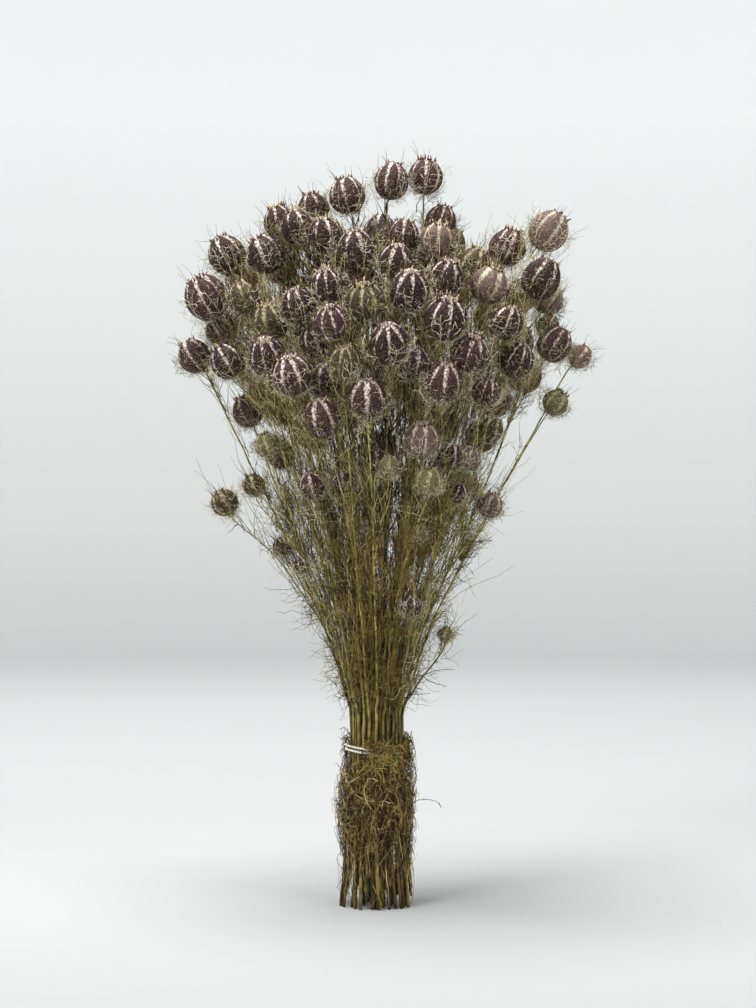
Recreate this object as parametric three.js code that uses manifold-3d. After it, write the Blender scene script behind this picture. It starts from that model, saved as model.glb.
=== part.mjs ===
// A tied bunch of dried love-in-a-mist (nigella), standing on its own cut stem ends.
// Millimetres, +Z up, +X to the right, the near side of the bunch faces -Y.
// The origin is the middle of the central stem's cut end, where it meets the table.

import * as THREE from 'three';
import { mergeVertices } from 'three/addons/utils/BufferGeometryUtils.js';
import Module from 'manifold-3d';

const wasm = await Module();
wasm.setup();

// Driving dimensions.

// The stems are squeezed together at the waist and fan out above and below it.
const waistHeight = 110;
const waistRadius = 15.5;
const upperFlare = 34;      // height above the waist at which the fan has widened by 1.41
const lowerFlare = 135;     // the same below the waist, where the stems spread less

const levels = [0, 100, 125, 160, 200, 240, 280, 325, 370];   // heights of the stem rings

const stemSides = 5;
const stemFootRadius = 1.3;
const stemTopRadius = 0.8;
const stemTopHeight = 420;
const shootRadius = 0.75;
const cutStagger = 11;      // the most by which an outer stem was cut short

const podSides = 10;        // five carpels, each with a ridge and a groove
const podRows = 4;
const podHeightRatio = 1.06;
const podGroove = 0.93;     // radius in a groove, as a share of the radius on a ridge
const crownRise = 0.12;     // how far the five crown tips stand up, as a share of the width
const crownDip = 0.8;       // the top between the tips, as a share of the half height
const leanHeight = 170;     // the lower this is, the more the outer pods lean outwards
const leanVariety = 0.12;   // how far pods lean aside from that
const stalkPlug = 0.72;     // how deep a stalk runs into its pod, back from the middle
const neckRoom = 9;         // the least height between a stem's last ring and its pod

const outerFoot = 12;       // how far from the middle an outer stem's foot is

// The rules by which the stems and pods find room beside one another.
const stemGap = 0.7;
const fanGap = 2.8;         // extra room between stems above the waist
const podGap = 1.3;
const settleRounds = 260;
const firmRounds = 90;
const homePull = 0.04;      // each share below is of the way, for one round
const smoothing = 0.25;
const stemYield = 0.6;      // a stem's ring above the pod that is in its way
const lowerYield = 0.4;     // the ring below, and a pod that is in another's way
const podYield = 0.25;

// Heads on the near side: across, depth, height and width of each pod.
const crownHeads = [
  [-17, 8, 413, 21], [9, -2, 420, 20], [30, 10, 424, 21],
];
const leftShoulderHeads = [
  [-56, 5, 397, 19], [-45, -14, 392, 20], [-37, 14, 406, 19], [-29, -38, 385, 20],
  [-63, -25, 375, 21], [-86, -12, 376, 22], [-97, -22, 351, 25], [-75, -42, 349, 17],
];
const rightShoulderHeads = [
  [15, -12, 386, 20], [35, -22, 384, 19], [55, -36, 368, 19], [63, -54, 355, 21],
  [72, -64, 333, 18], [100, -4, 391, 23], [94, -28, 361, 22], [104, 5, 350, 17],
];
const faceHeads = [
  [-11, -58, 373, 23], [11, -68, 366, 20], [39, -66, 358, 20], [-27, -80, 352, 19],
  [-43, -74, 342, 19], [-24, -97, 331, 19], [-6, -92, 343, 21], [18, -88, 349, 22],
  [5, -104, 318, 22], [38, -94, 333, 24], [51, -84, 315, 21], [-16, -98, 309, 18],
  [22, -84, 309, 17], [-38, -66, 322, 16],
];
const leftFlankHeads = [
  [-105, -10, 318, 19], [-84, -44, 313, 20], [-92, -4, 333, 15], [-60, -72, 314, 21],
  [-59, -52, 335, 20], [-45, -84, 303, 21], [-29, -74, 301, 18],
];
const rightFlankHeads = [
  [102, -22, 324, 19], [118, -6, 318, 14], [78, -56, 313, 19], [61, -60, 295, 16],
  [98, 2, 337, 13], [103, -16, 291, 15],
];
const lowerFaceHeads = [
  [-28, -84, 280, 21], [-5, -92, 291, 20], [36, -89, 300, 21], [29, -74, 268, 19],
  [43, -60, 258, 14], [55, -44, 259, 13], [65, -36, 274, 14], [7, -72, 253, 12],
  [26, -70, 248, 15], [-3, -56, 256, 13], [-58, -30, 269, 14],
];
const lowHeads = [
  [42, -54, 239, 11], [65, -22, 232, 14], [-36, -52, 243, 14], [-18, -62, 244, 13],
  [-87, -14, 234, 15], [-70, -14, 244, 13], [-54, -12, 208, 11], [-43, -28, 198, 9],
  [-7, -52, 221, 9], [20, -48, 216, 11], [18, -38, 175, 12], [40, -12, 158, 8],
];

// The far side of the dome is filled evenly by rule.
const farHeads = 40;
const farLowest = 236;
const farHighest = 400;
const farDepth = 0.88;      // the bunch is a little shallower than it is wide
const domeShoulder = 318;   // height at which the dome is widest
const domeRadius = 106;
const domeTop = 404;

// Side shoots leave a taller stem that passes close by.
const shootReach = 28;
const shootDrop = 12;       // how far below the taller head a side shoot's head is, at least
const shootClear = 3;       // how far off the taller stem it stands, beyond its own radius
const shootsPerStem = 2;
const shootLength = 34;

// The string and the mat of old leaves round the foot of the bunch.
const tieHeight = 88.5;
const tieRadius = 18.6;
const stringRadius = 0.9;
const turnPitch = 2.3;
const tieTilt = 0.14;       // radians, down to the right
const knotRadius = 1.9;
const matBottom = 22;
const matTop = 97;
const matShoulder = 84;
const matInner = 20.2;
const matOuter = 24;

// Materials.

function dryMaterial(name, color, roughness) {
  return new THREE.MeshStandardMaterial({ name, color, roughness });
}

const podPurple = dryMaterial('pod_purple', 0x6b4a56, 0.55);
const matBrown = dryMaterial('leaf_brown', 0x6e5530, 0.9);
const stringWhite = dryMaterial('string_white', 0xe6e0cf, 0.85);

// Small helpers.

// How wide the bunch is at a height, as a multiple of its waist.
function spreadAt(height) {
  const flare = height > waistHeight ? upperFlare : lowerFlare;
  return Math.hypot(1, (height - waistHeight) / flare);
}

// A repeatable number between -1 and 1 for the small differences between grown things.
function vary(number) {
  const wave = Math.sin(number * 12.9898) * 43758.5453;
  return 2 * (wave - Math.floor(wave)) - 1;
}

function stemRadiusAt(height) {
  return THREE.MathUtils.lerp(stemFootRadius, stemTopRadius, Math.min(1, height / stemTopHeight));
}

function domeRadiusAt(height) {
  if (height < domeShoulder) return Math.min(domeRadius, waistRadius * spreadAt(height));
  const rise = Math.min(1, (height - domeShoulder) / (domeTop - domeShoulder));
  return domeRadius * Math.sqrt(1 - rise ** 3);
}

function toSolid(geometry) {
  const plain = geometry.index ? geometry.toNonIndexed() : geometry;
  plain.deleteAttribute('normal');
  plain.deleteAttribute('uv');
  const merged = mergeVertices(plain, 1e-4);
  return new wasm.Manifold(new wasm.Mesh({
    numProp: 3,
    vertProperties: new Float32Array(merged.attributes.position.array),
    triVerts: new Uint32Array(merged.index.array),
  }));
}

function toGeometry(solid) {
  const mesh = solid.getMesh();
  const geometry = new THREE.BufferGeometry();
  geometry.setAttribute('position', new THREE.Float32BufferAttribute(mesh.vertProperties, 3));
  geometry.setIndex(Array.from(mesh.triVerts));
  return geometry;
}

// Where the heads are.

function makeHead([x, y, z, width], number) {
  const home = new THREE.Vector3(x, y, z);
  const axis = new THREE.Vector3(x, y, leanHeight).normalize();
  axis.x += leanVariety * vary(number);
  axis.y += leanVariety * vary(number + 0.5);
  axis.normalize();
  return { home, centre: home.clone(), axis, radius: width / 2, number };
}

function makeHeads() {
  const rows = [
    ...crownHeads, ...leftShoulderHeads, ...rightShoulderHeads, ...faceHeads,
    ...leftFlankHeads, ...rightFlankHeads, ...lowerFaceHeads, ...lowHeads,
  ];
  const goldenTurn = 0.618034;
  for (let i = 0; i < farHeads; i += 1) {
    const share = (i + 0.5) / farHeads;
    const height = THREE.MathUtils.lerp(farLowest, farHighest, share ** 0.75);
    const turn = Math.PI * (0.03 + 0.94 * ((i * goldenTurn) % 1));
    const reach = domeRadiusAt(height) * (0.9 + 0.08 * vary(i + 3));
    const width = (height < 270 ? 14.5 : 19.5) + 2.5 * vary(i + 7);
    rows.push([reach * Math.cos(turn), farDepth * reach * Math.sin(turn), height, width]);
  }
  return rows.map(makeHead).sort((a, b) => b.home.z - a.home.z);
}

// The point inside the underside of a pod where its stalk ends.
function stalkEnd(head) {
  return head.centre.clone().addScaledVector(head.axis, -stalkPlug * head.radius);
}

// Stems and side shoots.

// Height index of the last ring that still lies under the head.
function lastLevelUnder(head) {
  const end = stalkEnd(head).z - neckRoom;
  return levels.findLastIndex((height) => height <= end);
}

function fanPoint(head, height) {
  const end = stalkEnd(head);
  const scale = spreadAt(height) / spreadAt(end.z);
  return new THREE.Vector2(end.x * scale, end.y * scale);
}

function makeStrand(head, parent, firstLevel) {
  const lastLevel = lastLevelUnder(head);
  const points = levels.map((height, i) => {
    if (i < firstLevel || i > lastLevel) return null;
    return fanPoint(head, height);
  });
  return { head, parent, firstLevel, lastLevel, points, shoots: 0 };
}

// A head grows from a taller stem that passes near it, or else has a stem of its own.
function findParent(head, stems) {
  let best = null;
  let bestDistance = shootReach;
  for (const stem of stems) {
    if (stem.shoots >= shootsPerStem || stem.head.centre.z < head.centre.z + shootDrop) continue;
    const distance = fanPoint(stem.head, head.centre.z).distanceTo(head.centre);
    if (distance < bestDistance && distance > head.radius + shootClear) {
      best = stem;
      bestDistance = distance;
    }
  }
  return best;
}

function growStrands(heads) {
  const stems = [];
  const shoots = [];
  for (const head of heads) {
    const parent = findParent(head, stems);
    const firstLevel = levels.findLastIndex((height) => height <= stalkEnd(head).z - shootLength);
    if (parent && firstLevel >= 2 && firstLevel <= lastLevelUnder(head)) {
      parent.shoots += 1;
      shoots.push(makeStrand(head, parent, firstLevel));
    } else {
      stems.push(makeStrand(head, null, 0));
    }
  }
  return { stems, shoots };
}

// Settling.

// Two discs on one level push each other apart.
function pushApart(a, b, wanted) {
  const offset = a.clone().sub(b);
  const distance = Math.max(offset.length(), 1e-3);
  if (distance >= wanted) return;
  offset.multiplyScalar((wanted - distance) / distance / 2);
  a.add(offset);
  b.sub(offset);
}

function separateStrands(strands) {
  levels.forEach((height, i) => {
    if (i === 0) return;
    const room = height > waistHeight ? fanGap : 0;
    const wanted = 2 * stemRadiusAt(height) + stemGap + room;
    const present = strands.filter((s) => s.points[i] && (!s.parent || i > s.firstLevel));
    for (let a = 1; a < present.length; a += 1) {
      for (let b = 0; b < a; b += 1) {
        pushApart(present[a].points[i], present[b].points[i], wanted);
      }
    }
  });
}

function separateHeads(heads) {
  for (let a = 1; a < heads.length; a += 1) {
    for (let b = 0; b < a; b += 1) {
      pushApart(heads[a].centre, heads[b].centre, heads[a].radius + heads[b].radius + podGap);
    }
  }
}

// The strand's corner points, from its first ring to the stalk end inside its pod.
function strandCorners(strand) {
  const corners = [];
  for (let i = strand.firstLevel; i <= strand.lastLevel; i += 1) {
    const isJoint = i === strand.firstLevel && strand.parent;
    const point = isJoint ? strand.parent.points[i] : strand.points[i];
    corners.push(new THREE.Vector3(point.x, point.y, levels[i]));
  }
  corners.push(stalkEnd(strand.head));
  return corners;
}

// How far, and which way, the stem between two corners has to move to clear a pod.
function clearance(lower, upper, head) {
  const wanted = head.radius * podHeightRatio + stemRadiusAt(head.centre.z) + podGap;
  if (lower.z > head.centre.z + wanted || upper.z < head.centre.z - wanted) return null;
  const away = new THREE.Vector3();
  new THREE.Line3(lower, upper).closestPointToPoint(head.centre, true, away);
  away.sub(head.centre);
  const distance = Math.max(away.length(), 1e-3);
  return distance < wanted ? away.multiplyScalar((wanted - distance) / distance) : null;
}

// A stem passes round every pod that isn't its own.
function passRoundHeads(strands, heads) {
  for (const strand of strands) {
    const corners = strandCorners(strand);
    for (const head of heads) {
      if (head === strand.head) continue;
      for (let i = 1; i < corners.length; i += 1) {
        const away = clearance(corners[i - 1], corners[i], head);
        if (!away) continue;
        const aside = new THREE.Vector2(away.x, away.y);
        const level = strand.firstLevel + i;
        const [below, above] = [strand.points[level - 1], strand.points[level]];
        if (above) above.addScaledVector(aside, stemYield);
        else strand.head.centre.addScaledVector(away, lowerYield);
        if (below && levels[level - 1] > waistHeight) below.addScaledVector(aside, lowerYield);
        head.centre.addScaledVector(away, -podYield);
      }
    }
  }
}

// The tie holds the stems in a round bundle, and below it they run straight down to their cuts.
function holdBundle(stems) {
  const [foot, waist] = levels;
  const limit = waistRadius * spreadAt(waist) - stemRadiusAt(waist) + 0.5;
  stems[0].points[1].set(0, 0);
  for (const stem of stems) {
    if (stem.points[1].length() > limit) stem.points[1].setLength(limit);
    stem.points[0].copy(stem.points[1]).multiplyScalar(spreadAt(foot) / spreadAt(waist));
  }
}

// Stiff stems take out their own kinks, measured against the fan of the whole bunch.
function smoothStrands(strands) {
  for (const strand of strands) {
    const end = stalkEnd(strand.head);
    const first = strand.parent ? strand.firstLevel + 1 : 1;
    if (strand.parent) strand.points[strand.firstLevel].copy(strand.parent.points[strand.firstLevel]);
    for (let i = first; i <= strand.lastLevel; i += 1) {
      const before = strand.points[i - 1].clone().divideScalar(spreadAt(levels[i - 1]));
      const after = i < strand.lastLevel
        ? strand.points[i + 1].clone().divideScalar(spreadAt(levels[i + 1]))
        : new THREE.Vector2(end.x, end.y).divideScalar(spreadAt(end.z));
      const middle = before.add(after).multiplyScalar(0.5 * spreadAt(levels[i]));
      strand.points[i].lerp(middle, smoothing);
    }
  }
}

function settle(stems, shoots, heads) {
  const strands = [...stems, ...shoots];
  const reach = (stem) => fanPoint(stem.head, 0).length();
  const start = stems.reduce((a, b) => (reach(a) < reach(b) ? a : b));
  stems.splice(stems.indexOf(start), 1);
  stems.unshift(start);
  for (let round = 0; round < settleRounds + firmRounds; round += 1) {
    if (round < settleRounds) {
      smoothStrands(strands);
      for (const head of heads) head.centre.lerp(head.home, homePull);
    }
    separateHeads(heads);
    passRoundHeads(strands, heads);
    separateStrands(strands);
    holdBundle(stems);
  }
}

// Shapes.

// A cylinder whose rings are moved to the strand's corner points; the rings stay level.
function makeStalk(strand) {
  const corners = strandCorners(strand);
  const isShoot = Boolean(strand.parent);
  const isOuter = !isShoot && strand.points[0].length() > outerFoot;
  if (isOuter) corners[0].z = Math.max(0, cutStagger * vary(strand.head.number));
  const rings = corners.length - 1;
  const geometry = new THREE.CylinderGeometry(1, 1, rings, stemSides, rings);
  geometry.rotateX(Math.PI / 2);
  const position = geometry.attributes.position;
  for (let i = 0; i < position.count; i += 1) {
    const corner = corners[Math.round(position.getZ(i) + rings / 2)];
    const radius = isShoot ? shootRadius : stemRadiusAt(corner.z);
    const x = corner.x + radius * position.getX(i);
    const y = corner.y + radius * position.getY(i);
    position.setXYZ(i, x, y, corner.z);
  }
  return toSolid(geometry);
}

// An inflated capsule: ridges and grooves down its sides and five tips round a sunken top.
function makePod(head) {
  const geometry = new THREE.SphereGeometry(1, podSides, podRows);
  geometry.rotateX(Math.PI / 2);
  const position = geometry.attributes.position;
  const point = new THREE.Vector3();
  for (let i = 0; i < position.count; i += 1) {
    point.fromBufferAttribute(position, i);
    const side = Math.round(Math.atan2(point.y, point.x) / (2 * Math.PI / podSides) + podSides);
    const onRidge = side % 2 === 0;
    const isPole = Math.hypot(point.x, point.y) < 1e-3;
    if (!isPole && !onRidge) point.set(point.x * podGroove, point.y * podGroove, point.z);
    point.multiplyScalar(head.radius);
    point.z *= podHeightRatio;
    if (isPole && point.z > 0) point.z *= crownDip;
    const isTopRow = !isPole && point.z > 0.5 * head.radius;
    if (isTopRow && onRidge) point.z += crownRise * 2 * head.radius;
    position.setXYZ(i, point.x, point.y, point.z);
  }
  const turn = new THREE.Quaternion().setFromUnitVectors(new THREE.Vector3(0, 0, 1), head.axis);
  geometry.applyQuaternion(turn);
  geometry.translate(head.centre.x, head.centre.y, head.centre.z);
  return toSolid(geometry);
}

// A whole plant stem as it grew: the stalk, its pod, and any side shoots with theirs.
function makePlant(stem, shoots) {
  let solid = makeStalk(stem).add(makePod(stem.head));
  for (const shoot of shoots.filter((s) => s.parent === stem)) {
    solid = solid.add(makeStalk(shoot)).add(makePod(shoot.head));
  }
  return toGeometry(solid);
}

// Two turns of string with a knot at the back.
function makeTie() {
  const turns = [0, turnPitch].map((rise) => {
    const ring = new THREE.TorusGeometry(tieRadius, stringRadius, 5, 22);
    return toSolid(ring.translate(0, 0, rise));
  });
  const knot = new THREE.SphereGeometry(knotRadius, 8, 6).translate(0, tieRadius, turnPitch / 2);
  const geometry = toGeometry(turns[0].add(turns[1]).add(toSolid(knot)));
  geometry.rotateY(tieTilt);
  return geometry.translate(0, 0, tieHeight);
}

// The mat of dry leaves: a ragged sleeve that leaves the string bare at the left front.
function makeLeafMat() {
  const profile = [
    [matInner, matBottom], [matOuter - 2, matBottom], [matOuter, matBottom + 22],
    [matOuter + 0.5, matShoulder - 18], [matOuter, matTop - 6], [matOuter - 1, matTop],
    [matInner + 1.6, matTop], [matInner + 1.4, matShoulder], [matInner, matShoulder - 3],
    [matInner, matBottom],
  ];
  const sleeve = new THREE.LatheGeometry(profile.map(([r, z]) => new THREE.Vector2(r, z)), 28);
  sleeve.rotateX(Math.PI / 2);
  const window = new THREE.BoxGeometry(40, 40, 20);
  window.translate(-20, -20, matShoulder + 8);
  return toGeometry(toSolid(sleeve).subtract(toSolid(window)));
}

// The bunch.

function addMesh(group, name, geometry, material) {
  geometry.computeVertexNormals();
  const mesh = new THREE.Mesh(geometry, material.clone());
  mesh.name = name;
  group.add(mesh);
}

const heads = makeHeads();
const { stems, shoots } = growStrands(heads);
settle(stems, shoots, heads);

const bunch = new THREE.Group();
stems.forEach((stem, i) => {
  addMesh(bunch, `stem_${String(i + 1).padStart(2, '0')}`, makePlant(stem, shoots), podPurple);
});
addMesh(bunch, 'tie', makeTie(), stringWhite);
addMesh(bunch, 'leaf_mat', makeLeafMat(), matBrown);

export default bunch;
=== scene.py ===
import math
import random
import bmesh
import bpy
from mathutils import Matrix, Vector


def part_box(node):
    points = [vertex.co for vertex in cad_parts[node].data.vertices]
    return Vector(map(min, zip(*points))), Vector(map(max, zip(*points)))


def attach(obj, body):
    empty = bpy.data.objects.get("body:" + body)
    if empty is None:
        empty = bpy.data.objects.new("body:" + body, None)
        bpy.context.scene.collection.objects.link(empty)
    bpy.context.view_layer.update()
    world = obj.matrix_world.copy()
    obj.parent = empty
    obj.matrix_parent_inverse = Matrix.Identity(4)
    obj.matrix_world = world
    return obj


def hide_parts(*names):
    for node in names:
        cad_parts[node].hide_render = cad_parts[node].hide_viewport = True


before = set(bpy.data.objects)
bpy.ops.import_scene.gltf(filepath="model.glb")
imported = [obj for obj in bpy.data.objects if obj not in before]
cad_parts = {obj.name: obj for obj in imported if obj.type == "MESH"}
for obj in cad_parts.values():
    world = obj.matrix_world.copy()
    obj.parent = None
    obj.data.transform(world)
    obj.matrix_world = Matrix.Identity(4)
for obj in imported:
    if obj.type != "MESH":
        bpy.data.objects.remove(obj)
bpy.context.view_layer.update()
mm = 0.001
chance = random.Random(11)  # every small difference between grown things comes from here
print("frame loaded with", len(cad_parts), "nodes")


# the frame's plants: where each pod sits and how each stalk runs up to it

plantFacts = {
    "ringHeights": [0.1, 0.125, 0.16, 0.2, 0.24, 0.28, 0.325, 0.37],  # the frame's stalks have level rings here
    "ringSides": 5,
    "podSides": 10,
    "waistHeight": 0.11,
    "upperFlare": 0.034,
    "lowerFlare": 0.135,
    "topRowShare": 0.7071,  # the frame pod's top row of corners, as a share of its radius
    "grooveShare": 0.93,
    "podHeightShare": 1.06,
    "crownRise": 0.24,
    "stalkEndShare": 0.72,  # where a stalk ends inside its pod, as a share of the pod's radius
    "levelSlack": 0.02 * mm,  # how far off its height a ring's corner may read
    "ringRoom": 2.9 * mm,  # two corners nearer than this belong to one stalk
    "ringClear": 8.9 * mm,  # a stalk's end hides the rings that are nearer below it than this
    "weld": 0.002 * mm,
}


def spreadAt(height):
    flare = plantFacts["upperFlare"] if height > plantFacts["waistHeight"] else plantFacts["lowerFlare"]
    return math.hypot(1, (height - plantFacts["waistHeight"]) / flare)


def mean(points):
    total = Vector((0, 0, 0))
    for point in points:
        total += point
    return total / len(points)


def isEvenRing(points, tolerance=0.04):
    middle = mean(points)
    reaches = [(point - middle).length for point in points]
    return max(reaches) - min(reaches) < tolerance * max(reaches)


def readPod(pole):
    # the sunken top of a frame pod has ten neighbours: five raised crown tips and five lower grooves
    around = [edge.other_vert(pole).co.copy() for edge in pole.link_edges]
    middle = mean(around)
    around.sort(key=lambda point: (point - middle).length)
    grooves, tips = around[:5], around[5:]
    if not (isEvenRing(grooves) and isEvenRing(tips)):
        return None
    rise = mean(tips) - mean(grooves)
    radius = (grooves[0] - mean(grooves)).length / (plantFacts["topRowShare"] * plantFacts["grooveShare"])
    if abs(rise.length - plantFacts["crownRise"] * radius) > 0.05 * radius:
        return None
    axis = rise.normalized()
    centre = mean(grooves) - axis * radius * plantFacts["topRowShare"] * plantFacts["podHeightShare"]
    side = (tips[0] - mean(tips)).normalized()
    return {"centre": centre, "axis": axis, "radius": radius, "side": side}


def readRings(shape, height):
    level = [vert.co.copy() for vert in shape.verts if abs(vert.co.z - height) < plantFacts["levelSlack"]]
    rings = []
    while level:
        seed = level[0]
        near = [point for point in level if (point - seed).length < plantFacts["ringRoom"]]
        level = [point for point in level if (point - seed).length >= plantFacts["ringRoom"]]
        if len(near) == plantFacts["ringSides"]:
            rings.append(mean(near))
    return rings


def stalkEnd(pod):
    return pod["centre"] - pod["axis"] * pod["radius"] * plantFacts["stalkEndShare"]


def fanTo(point, height):
    scale = spreadAt(height) / spreadAt(point.z)
    return Vector((point.x * scale, point.y * scale, height))


def readPlant(node):
    shape = bmesh.new()
    shape.from_mesh(node.data)
    bmesh.ops.remove_doubles(shape, verts=shape.verts, dist=plantFacts["weld"])
    poles = [vert for vert in shape.verts if len(vert.link_edges) == plantFacts["podSides"]]
    pods = [pod for pod in map(readPod, poles) if pod]
    pods.sort(key=lambda pod: -pod["centre"].z)
    for pod in pods:
        pod["path"] = [stalkEnd(pod)]
        pod["open"] = True
    for height in reversed(plantFacts["ringHeights"]):
        rings = readRings(shape, height)
        active = [pod for pod in pods if pod["open"] and pod["path"][0].z > height + plantFacts["ringClear"]]
        pairs = []
        for pod in active:
            guess = fanTo(pod["path"][0], height)
            pairs += [((guess - ring).length, pods.index(pod), i) for i, ring in enumerate(rings)]
        usedPods, usedRings = set(), set()
        for distance, podIndex, ringIndex in sorted(pairs):
            if podIndex in usedPods or ringIndex in usedRings:
                continue
            usedPods.add(podIndex)
            usedRings.add(ringIndex)
            pods[podIndex]["path"].insert(0, rings[ringIndex])
        for pod in active:
            if pods.index(pod) not in usedPods and rings:  # a side shoot has reached its parent here
                guess = fanTo(pod["path"][0], height)
                pod["path"].insert(0, min(rings, key=lambda ring: (ring - guess).length))
                pod["open"] = False
    foot = sorted((vert.co.copy() for vert in shape.verts), key=lambda point: point.z)[:plantFacts["ringSides"]]
    for pod in pods:
        if pod["open"]:
            pod["path"].insert(0, mean(foot))
    shape.free()
    return pods


plants = {}
for nodeName in sorted(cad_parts):
    if nodeName.startswith("stem_"):
        plants[nodeName] = readPlant(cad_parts[nodeName])
print("plants read:", len(plants), "with", sum(len(pods) for pods in plants.values()), "pods")


# materials: dry papery capsules, straw stalks, thread leaves, matted old leaves, cotton string

def newMaterial(name, roughness, specular=0.3):
    material = bpy.data.materials.new(name)
    material.use_nodes = True
    shader = material.node_tree.nodes["Principled BSDF"]
    shader.inputs["Roughness"].default_value = roughness
    shader.inputs["Specular IOR Level"].default_value = specular
    return material, material.node_tree, shader


def addNoise(tree, scale, detail=3.0, stretch=(1, 1, 1), source=None):
    if source is None:
        source = tree.nodes.new("ShaderNodeTexCoord").outputs["Object"]
    mapping = tree.nodes.new("ShaderNodeMapping")
    mapping.inputs["Scale"].default_value = stretch
    noise = tree.nodes.new("ShaderNodeTexNoise")
    noise.inputs["Scale"].default_value = scale
    noise.inputs["Detail"].default_value = detail
    tree.links.new(source, mapping.inputs["Vector"])
    tree.links.new(mapping.outputs["Vector"], noise.inputs["Vector"])
    return noise.outputs["Fac"]


def addMath(tree, operation, first, second=None):
    node = tree.nodes.new("ShaderNodeMath")
    node.operation = operation
    for slot, value in enumerate((first, second)):
        if value is None:
            continue
        if isinstance(value, (int, float)):
            node.inputs[slot].default_value = value
        else:
            tree.links.new(value, node.inputs[slot])
    return node.outputs[0]


def addSwing(tree, source, amount):
    # noise turned into a small difference either way
    return addMath(tree, "MULTIPLY", addMath(tree, "SUBTRACT", source, 0.5), amount)


def addRamp(tree, source, stops):
    ramp = tree.nodes.new("ShaderNodeValToRGB")
    while len(ramp.color_ramp.elements) < len(stops):
        ramp.color_ramp.elements.new(0.5)
    for element, (position, colour) in zip(ramp.color_ramp.elements, stops):
        element.position = position
        element.color = (*colour, 1) if isinstance(colour, tuple) else (colour, colour, colour, 1)
    tree.links.new(source, ramp.inputs["Fac"])
    return ramp.outputs["Color"]


def addMix(tree, share, first, second, blend="MIX"):
    mix = tree.nodes.new("ShaderNodeMix")
    mix.data_type = "RGBA"
    mix.blend_type = blend
    for socket, value in ((mix.inputs["Factor"], share), (mix.inputs["A"], first), (mix.inputs["B"], second)):
        if isinstance(value, (int, float)):
            socket.default_value = value
        elif isinstance(value, tuple):
            socket.default_value = (*value, 1)
        else:
            tree.links.new(value, socket)
    return next(output for output in mix.outputs if output.type == "RGBA")


def addBump(tree, shader, source, strength, distance):
    bump = tree.nodes.new("ShaderNodeBump")
    bump.inputs["Strength"].default_value = strength
    bump.inputs["Distance"].default_value = distance
    tree.links.new(source, bump.inputs["Height"])
    tree.links.new(bump.outputs["Normal"], shader.inputs["Normal"])


def capsuleMaterial(name, look):
    # dark teardrop cheeks, broad low down and pointed under the crown, between pale seams
    material, tree, shader = newMaterial(name, 0.62, specular=0.12)
    seamMap = tree.nodes.new("ShaderNodeUVMap")
    seamMap.uv_map = "cheeks"
    parts = tree.nodes.new("ShaderNodeSeparateXYZ")
    tree.links.new(seamMap.outputs["UV"], parts.inputs["Vector"])
    withinCheek = addMath(tree, "FRACT", parts.outputs["X"])
    fromMiddle = addMath(tree, "ABSOLUTE", addMath(tree, "SUBTRACT", withinCheek, 0.5))
    wide = look["cheekWidth"]
    cheekEdge = addRamp(tree, parts.outputs["Y"], [
        (0.0, wide * 0.85), (0.2, wide), (0.48, wide),
        (0.68, wide * 0.84), (0.84, wide * 0.52), (0.95, wide * 0.1)])
    fibres = addNoise(tree, 1000, 4)
    ragged = addMath(tree, "ADD", addSwing(tree, fibres, 0.42), addSwing(tree, addNoise(tree, 85, 1), 0.26))
    pastEdge = addMath(tree, "SUBTRACT", fromMiddle, cheekEdge)
    seam = addMath(tree, "ADD", pastEdge, addMath(tree, "ADD", ragged, 0.5))
    veins = addNoise(tree, 2.2, 3, stretch=(9, 2, 1), source=seamMap.outputs["UV"])
    velvet = addRamp(tree, addNoise(tree, 1100, 4), [(0.42, look["deep"]), (0.6, look["cheek"])])
    blush = addRamp(tree, veins, [(0.4, look["cheek"]), (0.7, look["blush"])])
    cheek = addMix(tree, 0.45, velvet, blush)
    pale = addRamp(tree, addNoise(tree, 620, 4), [(0.4, look["seamTint"]), (0.58, look["seam"])])
    body = addMix(tree, addRamp(tree, seam, [(0.5, 0.0), (0.57, 1.0)]), cheek, pale)
    specks = addRamp(tree, addNoise(tree, 1300, 2), [(0.54, 0.0), (0.6, 1.0)])
    veil = addRamp(tree, parts.outputs["Y"], [(0.1, 0.9), (0.38, 0.55), (0.6, 0.18), (0.9, 0.4)])
    dusted = addMix(tree, addMath(tree, "MULTIPLY", specks, veil), body, look["mist"])
    ends = addRamp(tree, parts.outputs["Y"], [(0.03, 1.0), (0.14, 0.0), (0.9, 0.0), (0.98, 1.0)])
    colour = addMix(tree, addMath(tree, "MULTIPLY", ends, 0.75), dusted, look["ends"])
    tree.links.new(colour, shader.inputs["Base Color"])
    addBump(tree, shader, fibres, 0.6, 0.0005)
    return material


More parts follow.
